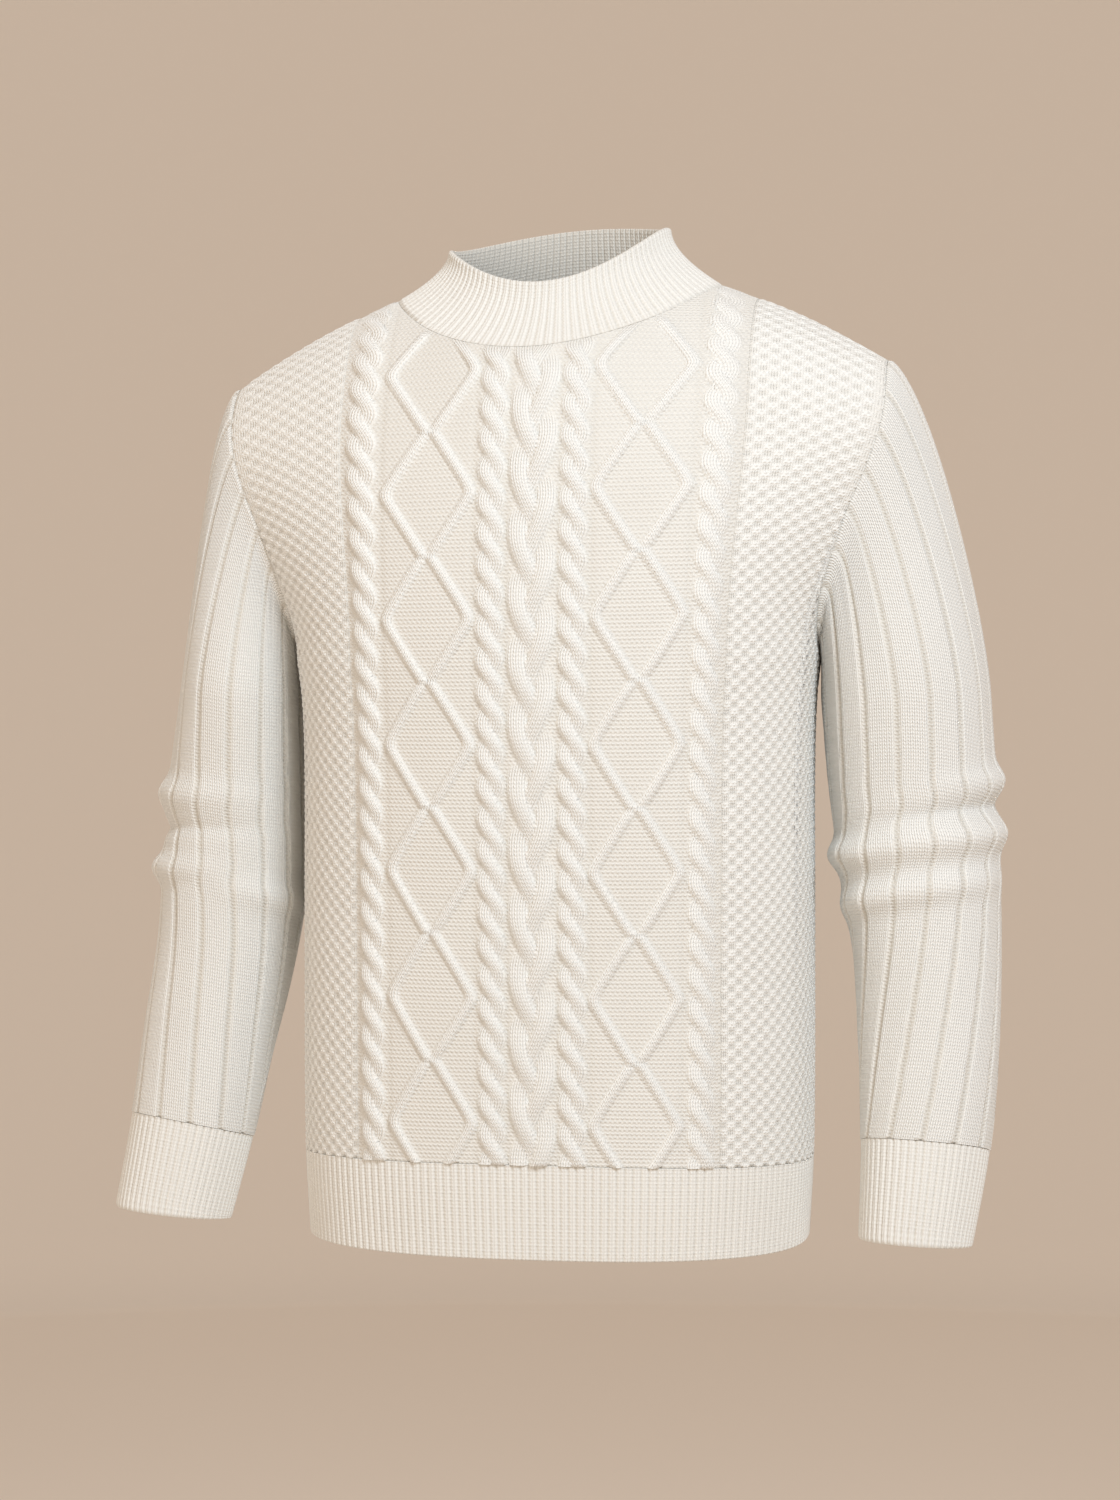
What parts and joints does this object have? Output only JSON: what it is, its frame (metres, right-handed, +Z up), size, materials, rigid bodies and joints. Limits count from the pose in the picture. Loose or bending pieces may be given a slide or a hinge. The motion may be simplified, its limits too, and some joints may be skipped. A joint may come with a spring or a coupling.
{
  "type": "sweater",
  "caption": "Cream cable knit sweater with a mock neck, filled out as if worn, with a braid, ropes and diamonds on the front and broad ribs on the sleeves.",
  "frame": {"origin": "the middle of the base of the neck, on the wearer's shoulders, where the garment is held up", "axes": "+Z up the wearer's body, +X to the wearer's left, the front faces -Y"},
  "size_m": [0.6349, 0.2528, 0.7175],
  "materials": {
    "front_knit": "matte",
    "back_knit": "matte",
    "hem_rib_front_knit": "matte",
    "hem_rib_back_knit": "matte",
    "sleeve_right_knit": "matte",
    "sleeve_left_knit": "matte",
    "cuff_right_knit": "matte",
    "cuff_left_knit": "matte",
    "collar_knit": "matte"
  },
  "bodies": {
    "root": {"front": "front_knit", "back": "back_knit", "hem_rib_front": "hem_rib_front_knit", "hem_rib_back": "hem_rib_back_knit", "sleeve_right": "sleeve_right_knit", "sleeve_left": "sleeve_left_knit", "cuff_right": "cuff_right_knit", "cuff_left": "cuff_left_knit", "collar": "collar_knit"}
  },
  "joints": []
}
